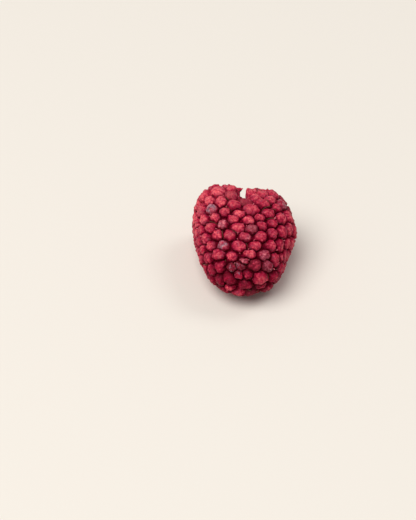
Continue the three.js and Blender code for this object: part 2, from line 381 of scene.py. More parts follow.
def neighbour_rings(count, faces):
    """Neighbours of each drupelet in order round it."""
    following = [{} for _ in range(count)]
    for a, b, c in faces.tolist():
        following[a][b] = c
        following[b][c] = a
        following[c][a] = b
    rings = []
    for after in following:
        ring = [min(after)]
        while len(ring) < len(after):
            ring.append(after[ring[-1]])
        rings.append(ring)
    return rings


def crowding(ball):
    """How closely drupelets press together: not at all over the crown, fully behind it."""
    return 1 - smoothstep(np.asarray(ball) @ CROWN, *CROWN_EDGE)


cells = place_cells()
set_odd_cells(cells)
faces = settle(cells)
rings = neighbour_rings(len(cells), faces)
for cell in cells[:OUTER_COUNT]:
    cell["rise"] *= 1 - CROWD_SINK * crowding(cell["ball"])
ball = np.array([cell["ball"] for cell in cells])
weight = 1 / np.array([cell["size"] for cell in cells])


# ---- Edges that neighbouring drupelets share ----

SPLIT = 3  # parts of each stretch between a shared edge's middle and its end


def between(members):
    """The place between drupelets, nearer to the smaller ones."""
    members = list(members)
    return unit((ball[members] * weight[members, None]).sum(0))


def pairs_of(corner):
    a, b, c = corner
    return (a, b), (b, c), (a, c)


def share_edges(faces):
    """Points along the valleys: a corner where three drupelets meet, a middle between each
    two, and a few on each stretch from a middle to a corner. Each has its share of the
    corners' extra depth."""
    places, sink = [], []
    corners, middles, stretches = {}, {}, {}

    def add(place, share):
        places.append(place)
        sink.append(share)
        return len(places) - 1

    for face in faces.tolist():
        corner = tuple(sorted(face))
        corners[corner] = add(between(corner), 1.0)
    for corner, end in corners.items():
        for pair in pairs_of(corner):
            if pair not in middles:
                middles[pair] = add(between(pair), 0.0)
            start = middles[pair]
            stretches[pair, corner] = [
                add(unit(places[start] + (places[end] - places[start]) * t), smoothstep(t, 0, 1))
                for t in (k / SPLIT for k in range(1, SPLIT))
            ]
    return np.array(places), np.array(sink), corners, middles, stretches


edge_ball, edge_sink, corners, middles, stretches = share_edges(faces)
edge_point = skin_under(edge_ball)
edge_whole = skin_under(edge_ball, notched=False)


def stand_up(number, cell):
    """Gives a drupelet its edge, as the solid has it and finer, and stands it square to its
    patch of skin as that was before the notch."""
    ring = rings[number]
    plain, loop = [], []
    for j, after in zip(ring, ring[1:] + ring[:1]):
        corner = tuple(sorted((number, j, after)))
        pair, pair_after = tuple(sorted((number, j))), tuple(sorted((number, after)))
        plain += [middles[pair], corners[corner]]
        loop += [middles[pair], *stretches[pair, corner], corners[corner]]
        loop += stretches[pair_after, corner][::-1]
    whole = skin_under(ball[number], notched=False)
    spokes = edge_whole[plain] - whole
    up = unit(np.cross(spokes, np.roll(spokes, -1, axis=0)).sum(0))
    cell.update(plain=plain, loop=loop, whole=whole, up=up, centre=skin_under(ball[number]))


def edge_directions():
    """Up out of each shared point, midway between the drupelets round it."""
    up = np.zeros_like(edge_point)
    for members, index in [*middles.items(), *corners.items()]:
        up[index] = unit(sum(cells[i]["up"] for i in members))
    for (pair, corner), inner in stretches.items():
        start, end = up[middles[pair]], up[corners[corner]]
        for k, index in enumerate(inner):
            up[index] = unit(start + (end - start) * (k + 1) / SPLIT)
    return up


for number, cell in enumerate(cells):
    stand_up(number, cell)

# The valleys run deepest where three drupelets meet, and shallow where they crowd.
edge_up = edge_directions()
edge_lift = CROWD_LIFT * crowding(edge_ball) * smoothstep(-edge_ball[:, 1], *LIFT_EDGE)
edge_shift = edge_up * (edge_lift - CORNER_DEPTH * edge_sink)[:, None]
edge_point += edge_shift
edge_whole += edge_shift


# ---- How the solid is set down ----

def stance(cell):
    """How far a drupelet rises, and which way its top leans."""
    rise = RISE[cell["kind"]] * cell["rise"]
    tilt = cell["lean"] - cell["up"] * np.dot(cell["lean"], cell["up"])
    return rise, tilt


def spokes_to(cell, edge):
    """Spokes from a drupelet's centre to its edge, how far they drop, and what is left of
    them on the flat, with its length."""
    spoke = edge_whole[edge] - cell["whole"]
    drop = spoke @ cell["up"]
    flat = spoke - drop[:, None] * cell["up"]
    return spoke, drop, flat, np.linalg.norm(flat, axis=1)


def knob_limits(cell):
    """A knob's largest radius, and how much of its patch it fills at most."""
    crowd = crowding(cell["ball"]) if cell["kind"] == "outer" else 0
    return (
        ROUND_RADIUS * cell["size"] * (1 + (CROWD_SPREAD - 1) * crowd),
        FILL + (CROWD_FILL - FILL) * crowd,
    )


def coarse_ring(cell, edge, out, up):
    rise, tilt = stance(cell)
    _, drop, flat, span = spokes_to(cell, edge)
    radius, fill = knob_limits(cell)
    reach = np.minimum(radius, span * fill) * out
    return (
        cell["centre"] + flat * (reach / span)[:, None]
        + (drop * out * out + rise * up)[:, None] * cell["up"] + tilt * rise * up
    )


def coarse_points():
    """The solid's own points, and the extra ones low on the shared edges."""
    made = [edge_point]
    for cell in cells:
        rise, tilt = stance(cell)
        made.append((cell["centre"] + (cell["up"] + tilt) * rise)[None])
        made.append(coarse_ring(cell, cell["plain"][1::2], *SHOULDER[cell["kind"]]))
        if cell["kind"] != "cavity":
            made.append(coarse_ring(cell, cell["plain"], *EQUATOR[cell["kind"]]))
    return np.concatenate(made)


pitch = math.radians(REST_PITCH)
PITCHED = np.array([
    (1, 0, 0), (0, math.cos(pitch), -math.sin(pitch)), (0, math.sin(pitch), math.cos(pitch)),
])
pitched = coarse_points() @ PITCHED.T
low, high = pitched.min(0), pitched.max(0)
SHIFT = np.array([(low[0] + high[0]) / 2, (low[1] + high[1]) / 2, low[2] + REST_FLAT])
size_gap = np.abs((high - low - (0, 0, REST_FLAT)) * MM - np.array(cad_high - cad_low))
assert size_gap.max() < SIZE_TOLERANCE, f"the rule no longer matches the solid: {size_gap}"


def set_down(points, lowest):
    """Points moved to where the solid rests, with none lower than given."""
    placed = points @ PITCHED.T - SHIFT
    placed[:, 2] = np.maximum(placed[:, 2], lowest)
    return placed


# ---- The fine surface ----

# Rings down each dome, as degrees from its top. The first few have half the points.
DOME_TURNS = [10, 20, 30, 41, 52, 63, 75, 90]
HALVED_RINGS = 2
# How square the domes are, where 2 is round.
DOME_POWER = {"outer": 2.5, "rim": 3.0}
# How much wider they are than the solid's knobs, how much of their patch they fill at most,
# and how sharply they go from round to its shape.
SWELL = 1.05
MOST_FILL = 0.985
PATCH_POWER = 16.0
# Rings under each dome: share of its half-width, and share of an outer knob's rise.
FOOT = [(0.985, 0.2), (0.94, 0.05)]
# One more ring lies in the groove: how far back to the foot, and how deep.
GROOVE_BACK = 0.45
GROOVE_DEPTH = 0.04
# Rings of the mounds in the cavity: shares of their half-width. Then their power.
MOUND_RINGS = [0.25, 0.5, 0.75, 0.9]
MOUND_POWER = 1.3

# Dried skin draws in along soft folds, and tops sag, some of them deeply. A pair is the
# least, and how much more it may be.
FOLD_COUNT = (2, 3)
FOLD_DEPTH = (0.01, 0.025)
SAG = 0.10
DEEP_SAG = 0.22
DEEP_SAG_CHANCE = 0.12

# A dome's light falls from 1 on top to this on its side.
SIDE_LIGHT = 0.28
# The light of a foot or a mound, times its height.
LOW_LIGHT = 0.8

# Each drupelet has a round tile on the UV map, this many to a row. Then radii in it, as
# shares of a tile.
TILES = 16
TILE_TOP = 0.02
TILE_DOME = 0.34
TILE_GROOVE = 0.42
TILE_MOUND = 0.46
TILE_EDGE = 0.47

fine_draw = make_random(SEED + 1)


def drawn(least, spread):
    return least + spread * fine_draw()


class Skin:
    """The fine surface as it grows. Its first points are the edges that drupelets share."""

    def __init__(self):
        self.points = list(edge_point)
        self.height = [0.0] * len(self.points)
        self.light = [0.0] * len(self.points)
        self.owner = [-1] * len(self.points)
        self.faces = []
        self.corner_uv = []

    def add_points(self, places, height, light, owner):
        first = len(self.points)
        self.points.extend(places)
        self.height += [height] * len(places)
        self.light += [light] * len(places)
        self.owner += [owner] * len(places)
        return range(first, len(self.points))

    def add_face(self, *corners):
        """A face from its corners, each a point's number and its UV place."""
        self.faces.append([index for index, _ in corners])
        self.corner_uv.extend(uv for _, uv in corners)

    def stitch(self, inner, outer):
        """Faces between two rings. The inner one may be one point, or half as many."""
        count = len(outer)
        for k, here in enumerate(inner):
            after = inner[(k + 1) % len(inner)]
            if len(inner) == 1:
                for a in range(count):
                    self.add_face(here, outer[a], outer[(a + 1) % count])
            elif len(inner) == count:
                self.add_face(here, outer[k], outer[(k + 1) % count], after)
            else:
                a, b, c = (outer[(2 * k + step) % count] for step in range(3))
                self.add_face(here, a, b)
                self.add_face(here, b, after)
                self.add_face(after, b, c)


class Drupelet:
    """A drupelet of the fine surface, ring by ring from its top to its shared edge."""

    def __init__(self, skin, number):
        self.skin = skin
        self.number = number
        self.cell = cell = cells[number]
        self.centre, self.up = cell["centre"], cell["up"]
        self.rise, self.tilt = stance(cell)
        self.spoke, self.drop, flat, span = spokes_to(cell, cell["loop"])
        self.out = flat / span[:, None]
        radius, fill = knob_limits(cell)
        patch = span * min(fill * SWELL, MOST_FILL)
        round_part = (radius * SWELL) ** -PATCH_POWER
        self.reach = (round_part + patch**-PATCH_POWER) ** (-1 / PATCH_POWER)
        side = self.out[0]
        front = np.cross(self.up, side)
        self.around = np.arctan2(self.out @ front, self.out @ side)
        self.rings = []

    def add_ring(self, places, height, light, radius):
        self.join_ring(self.skin.add_points(places, height, light, self.number), radius)

    def join_ring(self, indices, radius):
        """Takes points as the next ring, at a radius in the drupelet's tile."""
        row, column = divmod(self.number, TILES)
        turns = self.around[::len(self.around) // len(indices)]
        ring = [
            (index, (
                (column + 0.5 + radius * math.cos(turn)) / TILES,
                (row + 0.5 + radius * math.sin(turn)) / TILES,
            ))
            for index, turn in zip(indices, turns)
        ]
        if self.rings:
            self.skin.stitch(self.rings[-1], ring)
        self.rings.append(ring)

    def add_dome(self):
        """A dome that bulges over its foot, with soft folds and a top that sags."""
        cell = self.cell
        sag = cell["sag"]
        folds = cell["fold_depth"] * np.cos(cell["folds"] * self.around + cell["phase"])
        top = self.centre + (self.up + self.tilt) * self.rise * (1 - sag)
        self.add_ring([top], 1.0, 1.0, 0.0)
        levels = dome_levels(cell["kind"])
        for i, (q, height, light) in enumerate(levels):
            keep = slice(None, None, 2 if i < HALVED_RINGS else 1)
            reach = (self.reach * (1 - folds * q) * q)[keep]
            lift = height - sag * (1 - q**2) ** 2
            ring = (
                self.centre + self.out[keep] * reach[:, None]
                + (self.drop[keep] * q * q + self.rise * lift)[:, None] * self.up
                + self.tilt * self.rise * lift
            )
            self.add_ring(ring, height, light, TILE_TOP + TILE_DOME * (i + 1) / len(levels))
        edge = edge_point[cell["loop"]]
        groove = ring * GROOVE_BACK + edge * (1 - GROOVE_BACK) - self.up * GROOVE_DEPTH
        self.add_ring(groove, 0.0, 0.0, TILE_GROOVE)

    def add_mound(self):
        """A low, plain mound."""
        self.add_ring([self.centre + self.up * self.rise], 1.0, LOW_LIGHT, 0.0)
        for i, q in enumerate(MOUND_RINGS):
            keep = slice(None, None, 2 if i == 0 else 1)
            height = (1 - q * q) ** MOUND_POWER
            ring = self.centre + (self.spoke * q)[keep] + self.up * (self.rise * height)
            ring = ring - self.up * (self.drop[keep] * (q - q * q))[:, None]
            self.add_ring(ring, height, LOW_LIGHT * height, TILE_MOUND * q)

    def build(self):
        if self.cell["kind"] == "cavity":
            self.add_mound()
        else:
            self.add_dome()
        self.join_ring(self.cell["loop"], TILE_EDGE)


def dome_levels(kind):
    """For each ring of a dome and its foot: shares of half-width and rise, and light."""
    equator = EQUATOR[kind][1]
    power = 2 / DOME_POWER[kind]
    levels = []
    for degrees in DOME_TURNS:
        turn = math.radians(degrees)
        q = math.sin(turn) ** power
        height = equator + (1 - equator) * max(math.cos(turn), 0) ** power
        levels.append((q, height, SIDE_LIGHT + (1 - SIDE_LIGHT) * (1 - q**4)))
    for q, share in FOOT:
        height = share * equator / EQUATOR["outer"][1]
        levels.append((q, height, LOW_LIGHT * height))
    return levels


def draw_folds(cell):
    cell["folds"] = FOLD_COUNT[0] + int(fine_draw() * FOLD_COUNT[1])
    cell["phase"] = fine_draw() * 2 * math.pi
    cell["fold_depth"] = drawn(*FOLD_DEPTH)
    cell["sag"] = SAG * fine_draw()
    if fine_draw() < DEEP_SAG_CHANCE:
        cell["sag"] += DEEP_SAG
    cell["tone"] = fine_draw()


def point_normals(points, faces):
    triangles = np.array([
        (face[0], face[k], face[k + 1]) for face in faces for k in range(1, len(face) - 1)
    ])
    sides = points[triangles]
    facing = np.cross(sides[:, 1] - sides[:, 0], sides[:, 2] - sides[:, 0])
    normals = np.zeros_like(points)
    for corner in range(3):
        np.add.at(normals, triangles[:, corner], facing)
    return unit(normals)


skin = Skin()
for number, cell in enumerate(cells):
    draw_folds(cell)
    Drupelet(skin, number).build()
owner = np.array(skin.owner)


# ---- Dried skin: lumps, creases and a ribbed drupelet ----

# Each kind of unevenness: its depth, then its noise's frequency and offset.
LUMP_DEPTH = 0.08
LUMP_NOISE = (0.8, 3.1)
PUCKER_DEPTH = 0.05
PUCKER_NOISE = (2.0, 17.7)
CREASE_DEPTH = 0.07
CREASE_NOISE = (1.15, 41.3)
CREASE_POWER = 7
# How far up a drupelet it is at full depth, and what is left in valleys and in the cavity.
RAISED_SPAN = (0.02, 0.45)
VALLEY_SHARE = 0.35
CAVITY_SHARE = 0.5
# How much deeper the puckers and creases are towards the tip, and where that sets in.
TIP_SHRIVEL = 0.7
TIP_SPAN = (3.5, 7.5)
# The ribbed drupelet's place and angle, and its ribs.
RIBBED = (-7.4, 100)
RIB_DEPTH = 0.07
RIB_PITCH = 0.42

# Where the fine skin is eased out or in: place, angle, shift, radius.
EASED = [
    (8.2, 133, 0.45, 2.6), (7.4, 38, 0.35, 2.6), (4.6, 162, -0.35, 2.6), (-2.6, 0, -0.33, 3.0),
    (-8.8, -38, -0.5, 3.0),
]


def noise_at(places, frequency, offset):
    return np.array([noise.noise(Vector(p)) for p in places * frequency + offset])


def shrivel(points, height):
    """How far each point of the skin moves out as the berry dries."""
    lumps = LUMP_DEPTH * noise_at(points, *LUMP_NOISE)
    puckers = PUCKER_DEPTH * noise_at(points, *PUCKER_NOISE)
    creases = CREASE_DEPTH * (1 - np.abs(noise_at(points, *CREASE_NOISE))) ** CREASE_POWER
    raised = smoothstep(height, *RAISED_SPAN)
    shrivelled = 1 + TIP_SHRIVEL * smoothstep(-points[:, 1], *TIP_SPAN)
    shift = lumps + shrivelled * (puckers - creases * raised)
    in_cavity = owner >= OUTER_COUNT + RIM_COUNT
    shift *= np.where(in_cavity, CAVITY_SHARE, 1) * (VALLEY_SHARE + (1 - VALLEY_SHARE) * raised)
    ribs = np.cos(2 * math.pi * points[:, 1] / RIB_PITCH) * RIB_DEPTH
    return shift + np.where(owner == nearest_cell(cells, *RIBBED), ribs * raised, 0)


def eased(points):
    moved = points.copy()
    for along, turn, shift, radius in EASED:
        place = section_point(outside_row(along), math.radians(turn))
        away = np.linalg.norm(points - place, axis=1) / radius
        moved += (shift * np.exp(-(away**2)))[:, None] * unit(place)
    return moved


points = np.array(skin.points)
normals = point_normals(points, skin.faces)
points += normals * shrivel(points, np.array(skin.height))[:, None]


# ---- Colour marks, drupelet by drupelet ----

# Drupelets that take a mark: place, angle, how much of it.
MARKED = {
    # Paler skin, partly painted highlight.
    "pale": [
        (2.6, 124, 1.0), (-5.1, 126, 0.9), (-0.1, 116, 0.4), (-2.1, 72, 0.3), (-3.8, 80, 0.3),
        (-7.0, 62, 0.3), (-7.3, 40, 0.3), (5.3, 45, 0.7), (-7.4, 100, 0.3),
    ],
    # Dull brown; on the sunken drupelets at the tip it is painted shade.
    "dull": [
        (3.3, 87, 0.8), (5.2, 28, 0.8), (-9.6, -74, 1.0), (-2.1, 72, 0.5), (-8.2, 98, 0.8),
        (-7.8, 116, 0.8), (-7.4, 78, 0.5), (5.6, 93, 0.35), (-7.6, 38, 0.2),
    ],
    # Glossy; the glossiest also take painted glints.
    "glossy": [
        (-8.2, 98, 1.0), (-7.8, 116, 1.0), (-9.6, 110, 1.0), (2.6, 124, 0.6),
        (-7.3, 40, 0.6),
    ],
}
# How far a drupelet's colour lies above its neighbours', or below.
BRIGHT = [
    (-9.2, 25, 1.1), (-5.7, 142, 0.5), (-6.5, 119, 0.5), (-8.8, 157, -0.7), (-6.4, 81, 0.5),
    (-9.2, -166, 0.8), (-9.3, -131, 0.9), (-8.9, 79, -0.2), (-7.6, 38, -0.2), (-8.2, 179, -0.4),
    (-6.1, 53, -0.3),
]
# Of the drupelets that face away from the camera, a random share takes each mark.
ODD_SHARE = 0.12
ODD_AMOUNT = (0.3, 0.55)
TO_CAMERA = (0, -0.72, 0.69)
SEEN_FROM = 0.1
# Drupelets have tones from 0 to 1, and the skin between them this.
SHARED_TONE = 0.5

# Outside the cavity the valleys' painted shade lightens where drupelets crowd, and towards the
# rim.
CROWD_LIGHT = 0.5
RIM_LIGHT = 0.45
RIM_LIGHT_SPAN = (2.5, 6.0)
OUTSIDE_LIMIT = 0.1

# Painted shade darkens the colour towards the tip, on a slant, and down the right flank.
# Towards the rim painted light pales it.
TIP_SLANT = 0.2
TIP_DARK_SPAN = (5.2, 9.6)
RIM_PALING = 0.5
RIM_PALING_SPAN = (-2.0, 7.0)
FLANK_DARK = 0.35
FLANK_FROM = (1.5, 4.5)
FLANK_TO = (6.0, 8.0)


def placed_marks(marks, places):
    for along, angle, amount in places:
        marks[nearest_cell(cells, along, angle)] = amount
    return marks


def drawn_marks():
    """Random amounts of a mark, for drupelets on the hidden side."""
    marks = np.zeros(len(cells))
    for number, cell in enumerate(cells):
        chance, amount = fine_draw(), fine_draw()
        seen = cell["up"] @ PITCHED.T @ TO_CAMERA > SEEN_FROM
        if chance < ODD_SHARE and not seen:
            marks[number] = ODD_AMOUNT[0] + ODD_AMOUNT[1] * amount
    return marks


def over_points(values, shared):
    """Each drupelet's value on its own points, and one on the edges they share."""
    return np.where(owner < 0, shared, values[owner])


def painted_light_levels():
    """How much painted light each point gets, from painted shade in the valleys to the tops."""
    place = np.concatenate([edge_ball, ball[owner[len(edge_ball):]]])
    near_rim = smoothstep(points[:, 1], *RIM_LIGHT_SPAN)
    merged = np.maximum(CROWD_LIGHT * crowding(place), RIM_LIGHT * near_rim)
    light = np.array(skin.light)
    return light + merged * (place[:, 1] < OUTSIDE_LIMIT) * (1 - light)


def painted_darkness():
    """How far each point's colour lies below the middle shades; much of it is painted shade."""
    across, along = points[:, 0], points[:, 1]
    dark = smoothstep(-along - TIP_SLANT * across, *TIP_DARK_SPAN)
    dark = dark - RIM_PALING * smoothstep(along, *RIM_PALING_SPAN)
    dark += FLANK_DARK * smoothstep(across, *FLANK_FROM) * (1 - smoothstep(across, *FLANK_TO))
    return dark - over_points(placed_marks(np.zeros(len(cells)), BRIGHT), 0)


per_point = {
    name: over_points(placed_marks(drawn_marks(), places), 0.0)
    for name, places in MARKED.items()
}
per_point["tone"] = over_points(np.array([cell["tone"] for cell in cells]), SHARED_TONE)
# Painted light: full on the tops, painted shade in the valleys.
per_point["level"] = painted_light_levels()
# Painted shade towards the tip and down the right flank, painted light towards the rim.
per_point["dark"] = painted_darkness()


# ---- The berry's mesh ----

def add_object(name, data):
    made = bpy.data.objects.new(name, data)
    bpy.context.scene.collection.objects.link(made)
    return made


def add_mesh(name, vertices, polygons, attributes):
    mesh = bpy.data.meshes.new(name)
    mesh.from_pydata((vertices * MM).tolist(), [], polygons)
    for key, values in attributes.items():
        mesh.attributes.new(key, "FLOAT", "POINT").data.foreach_set("value", values)
    mesh.polygons.foreach_set("use_smooth", [True] * len(mesh.polygons))
    mesh.update()
    return add_object(name, mesh)


berry = add_mesh("berry_skin", set_down(eased(points), 0), skin.faces, per_point)
uv = berry.data.uv_layers.new(name="OFBake")
uv.data.foreach_set("uv", np.array(skin.corner_uv, np.float32).ravel())


# ---- Dried styles, and the pink stubs of broken ones ----

# Where each style comes up: place, angle. Then how much of its groove it lies along.
STYLES = [
    (2.8, 68.6, 1.0), (0.9, 64, 0.9), (2.2, 107, 0.8), (-2.7, 123.5, 1.0), (-4.2, 166, 1.2),
    (-8.6, 112, 1.0), (-9.8, -165, 0.8), (0.0, 126, 0.9), (-9.1, 171, 0.8), (-9.6, -74, 1.0),
    (4.7, 56, 0.8),
]
# Where each stub stands.
STUBS = [
    (-4.0, 94.6), (-1.5, 84), (-3.3, 71), (0.9, 56), (-3.7, 37), (-2.4, 104), (-6.0, 84),
    (2.35, 111),
]
# More of them stand at random places.
MORE_STYLES = 26
MORE_STYLES_LENGTH = (0.6, 0.5)
MORE_STUBS = 30

TUBE_SIDES = 6
# Any direction that no tube sets out in, and the lowest that one may lie.
TUBE_SIDE = (0.31, 0.87, 0.39)
TUBE_LOWEST = 0.02
# A style's radius, and how that varies from root to stigma.
STYLE_RADIUS = (0.034, 0.014)
STYLE_TAPER = np.array([1.2, 1.1, 1.0, 0.9, 0.85, 0.8, 0.9, 1.15])
# How high it stands over its groove, how soon it does, how much more its end rises, and how
# far it may bow sideways.
STYLE_LIFT = (0.5, 0.3)
STYLE_HASTE = 1.35
STYLE_END_RISE = 0.3
STYLE_BOW = 0.5
# A stub's radii from root to tip, its height, and how far its tip leans over.
STUB_RADII = np.array([0.08, 0.09, 0.10, 0.10, 0.085, 0.04])
STUB_HEIGHT = (0.75, 0.3)
STUB_LEAN = 0.12

outer_corners = [
    (corner, index) for corner, index in sorted(corners.items())
    if max(corner) < OUTER_COUNT + RIM_COUNT and min(corner) < OUTER_COUNT
]
corner_places = edge_ball[[index for _, index in outer_corners]]


class Tubes:
    """Closed tapering tubes, with how pink each is and how far along it each point lies."""

    def __init__(self):
        self.points = []
        self.faces = []
        self.pink = []
        self.share = []

    def add(self, path, radii, pink):
        path = np.array(path)
        sides = range(TUBE_SIDES)
        first = len(self.points)
        ahead = unit(np.gradient(path, axis=0))
        side = unit(np.cross(ahead[0], TUBE_SIDE))
        for k, (centre, radius) in enumerate(zip(path, radii)):
            side = unit(side - ahead[k] * np.dot(side, ahead[k]))
            front = np.cross(ahead[k], side)
            for s in sides:
                a = 2 * math.pi * s / TUBE_SIDES
                self.points.append(centre + (side * math.cos(a) + front * math.sin(a)) * radius)
                self.pink.append(pink)
                self.share.append(k / (len(path) - 1))
        for k in range(len(path) - 1):
            row = first + k * TUBE_SIDES
            for s in sides:
                a, b = row + s, row + (s + 1) % TUBE_SIDES
                self.faces.append((a, b, b + TUBE_SIDES, a + TUBE_SIDES))
        last = len(self.points) - TUBE_SIDES
        self.faces.append([first + s for s in reversed(sides)])
        self.faces.append([last + s for s in sides])


tubes = Tubes()


def nearest_corner(along, angle):
    away = np.linalg.norm(corner_places - ball_place(along, angle), axis=1)
    return int(np.argmin(away))


def any_corner():
    return int(fine_draw() * len(outer_corners))


def add_style(corner_number, length):
    """A style that comes up in a corner and lies along the groove between two drupelets."""
    corner, start = outer_corners[corner_number]
    pair = pairs_of(corner)[int(fine_draw() * 3)]
    other = next(i for c, i in outer_corners if c != corner and set(pair) <= set(c))
    up = edge_up[start]
    begin, middle, end = edge_point[start], edge_point[middles[pair]], edge_point[other]
    bow = unit(np.cross(end - begin, up)) * (fine_draw() - 0.5) * STYLE_BOW
    lift = drawn(*STYLE_LIFT)
    path = []
    for t in np.linspace(0, 1, len(STYLE_TAPER)):
        in_groove = begin * (1 - t) ** 2 + 2 * middle * t * (1 - t) + end * t * t
        arch = lift * math.sin(min(t * STYLE_HASTE, 1) * math.pi / 2)
        path.append(
            begin + (in_groove - begin) * length
            + up * (arch + STYLE_END_RISE * t * t) + bow * t * t
        )
    tubes.add(path, drawn(*STYLE_RADIUS) * STYLE_TAPER, 0.0)


def add_stub(corner_number):
    """The pale pink end of a broken style, low in a corner between drupelets."""
    _, start = outer_corners[corner_number]
    up = edge_up[start]
    lean = unit(np.cross(up, [fine_draw() - 0.5 for _ in range(3)]))
    height = drawn(*STUB_HEIGHT)
    path = [
        edge_point[start] + up * height * t + lean * STUB_LEAN * t * t
        for t in np.linspace(0, 1, len(STUB_RADII))
    ]
    tubes.add(path, STUB_RADII, 1.0)


for along, angle, length in STYLES:
    add_style(nearest_corner(along, angle), length)
for along, angle in STUBS:
    add_stub(nearest_corner(along, angle))
for _ in range(MORE_STYLES):
    add_style(any_corner(), drawn(*MORE_STYLES_LENGTH))
for _ in range(MORE_STUBS):
    add_stub(any_corner())

styles = add_mesh(
    "styles", set_down(eased(np.array(tubes.points)), TUBE_LOWEST), tubes.faces,
    {"pink": np.array(tubes.pink), "share": np.array(tubes.share)},
)


# ---- Materials ----

# Noises: how many to the millimetre, detail, roughness. Then where most of their values lie.
PATCHES = (0.9, 3.0, 0.55)
MOTTLE = (2.1, 4.0, 0.62)
GRAIN = (12.0, 4.0, 0.6)
CREASED = (1.5, 2.0, 0.7)
FILM = (1.2, 4.0, 0.65)
FLECKS = (1.8, 4.0, 0.65)
FIBRE = (9.0, 4.0, 0.6)
NOISE_RANGE = (0.3, 0.7)
NOISE_MIDDLE = 0.5
FULL_RANGE = (0.0, 1.0)

# Colours are linear. Flesh runs from painted shade in the valleys to painted light on tops.
FLESH = [
    (0.0, (0.090, 0.0, 0.006)), (0.3, (0.19, 0.0002, 0.016)), (0.55, (0.38, 0.012, 0.050)),
    (0.78, (0.62, 0.050, 0.093)), (1.0, (0.88, 0.150, 0.180)),
]
DEEPER_TONE = (0.36, 0.007, 0.038)
# Painted shade of fine creases.
CREASE_SHADE = (0.17, 0.0015, 0.016)
FROST = (0.31, 0.068, 0.105)
# Paler skin; its lightest stop is painted highlight.
BLOOM_AND_HIGHLIGHT = [(0.3, (0.12, 0.02, 0.04)), (0.5, (0.24, 0.12, 0.16)), (0.7, (0.46, 0.38, 0.44))]
# Dull brown, and painted shade in the hollow at the tip.
DULL_BROWN_AND_HOLLOW_SHADE = (0.12, 0.014, 0.022)
# Painted glint.
GLINT = (0.40, 0.30, 0.40)
OLIVE = [(0.0, (0.14, 0.015, 0.010)), (0.35, (0.13, 0.060, 0.022)), (1.0, (0.08, 0.045, 0.018))]
STUB_PINK = [(0.0, (0.22, 0.01, 0.03)), (0.5, (0.72, 0.06, 0.12)), (1.0, (0.80, 0.18, 0.24))]
CREAM = (0.80, 0.755, 0.695)

# How much of the flesh's run of colours each thing is worth.
PAINTED_LIGHT_SHADE = 0.82
MOTTLE_SHADE = 0.38
PATCH_SHADE = 0.12
DARK_SHADE = 0.33


class Nodes:
    """Adds shader nodes to a new material, each with its inputs given by name."""

    def __init__(self, name):
        self.material = bpy.data.materials.new(name)
        self.material.use_nodes = True
        self.tree = self.material.node_tree
        self.tree.nodes.clear()

    def add(self, kind, inputs=(), **settings):
        node = self.tree.nodes.new("ShaderNode" + kind)
        for key, value in settings.items():
            setattr(node, key, value)
        for key, value in dict(inputs).items():
            if isinstance(value, bpy.types.NodeSocket):
                self.tree.links.new(value, node.inputs[key])
            else:
                node.inputs[key].default_value = value
        return node

    def math(self, operation, a, b=0.0):
        return self.add("Math", {0: a, 1: b}, operation=operation).outputs[0]

    def plus(self, a, b):
        return self.math("ADD", a, b)

    def minus(self, a, b):
        return self.math("SUBTRACT", a, b)

    def times(self, a, b):
        return self.math("MULTIPLY", a, b)

    def attribute(self, name):
        return self.add("Attribute", attribute_name=name).outputs["Fac"]

    def noise(self, places, scale, detail, roughness):
        made = self.add(
            "TexNoise",
            {"Vector": places, "Scale": scale, "Detail": detail, "Roughness": roughness},
        )
        return made.outputs["Fac"]

    def ramp(self, factor, stops):
        made = self.add("ValToRGB", {"Fac": factor})
        elements = made.color_ramp.elements
        while len(elements) < len(stops):
            elements.new(0.5)
        for element, (position, colour) in zip(elements, stops):
            element.position = position
            element.color = (*colour, 1)
        return made.outputs["Color"]

    def mix(self, factor, a, b):
        made = self.add("Mix", {"Factor": factor}, data_type="RGBA")
        for socket, value in ((made.inputs[6], a), (made.inputs[7], b)):
            if isinstance(value, bpy.types.NodeSocket):
                self.tree.links.new(value, socket)
            else:
                socket.default_value = (*value, 1)
        return made.outputs[2]

    def spread(self, value, source, target):
        """A value from one range carried over to another, and held within it."""
        made = self.add("MapRange", {
            "Value": value, "From Min": source[0], "From Max": source[1],
            "To Min": target[0], "To Max": target[1],
        })
        return made.outputs["Result"]

    def millimetres(self):
        place = self.add("TexCoord").outputs["Object"]
        scale = (1 / MM, 1 / MM, 1 / MM)
        return self.add("Mapping", {"Vector": place, "Scale": scale}).outputs[0]

    def bump(self, relief, strength, depth):
        made = self.add("Bump", {"Strength": strength, "Distance": depth * MM, "Height": relief})
        return made.outputs[0]

    def finish(self, **inputs):
        named = {key.replace("_", " "): value for key, value in inputs.items()}
        shader = self.add("BsdfPrincipled", named)
        output = self.add("OutputMaterial")
        self.tree.links.new(shader.outputs[0], output.inputs["Surface"])
        return self.material


class SkinNodes(Nodes):
    """What the layers of the skin's look share."""

    def __init__(self):
        super().__init__("raspberry_skin")
        self.mm = self.millimetres()
        # Painted light and painted shade, carried in from the mesh.
        self.level = self.attribute("level")
        self.dark = self.attribute("dark")
        self.glossy = self.attribute("glossy")
        self.patches = self.noise(self.mm, *PATCHES)
        self.mottle = self.noise(self.mm, *MOTTLE)
        self.grain = self.noise(self.mm, *GRAIN)
        self.tops = self.spread(self.level, (0.35, 0.8), FULL_RANGE)


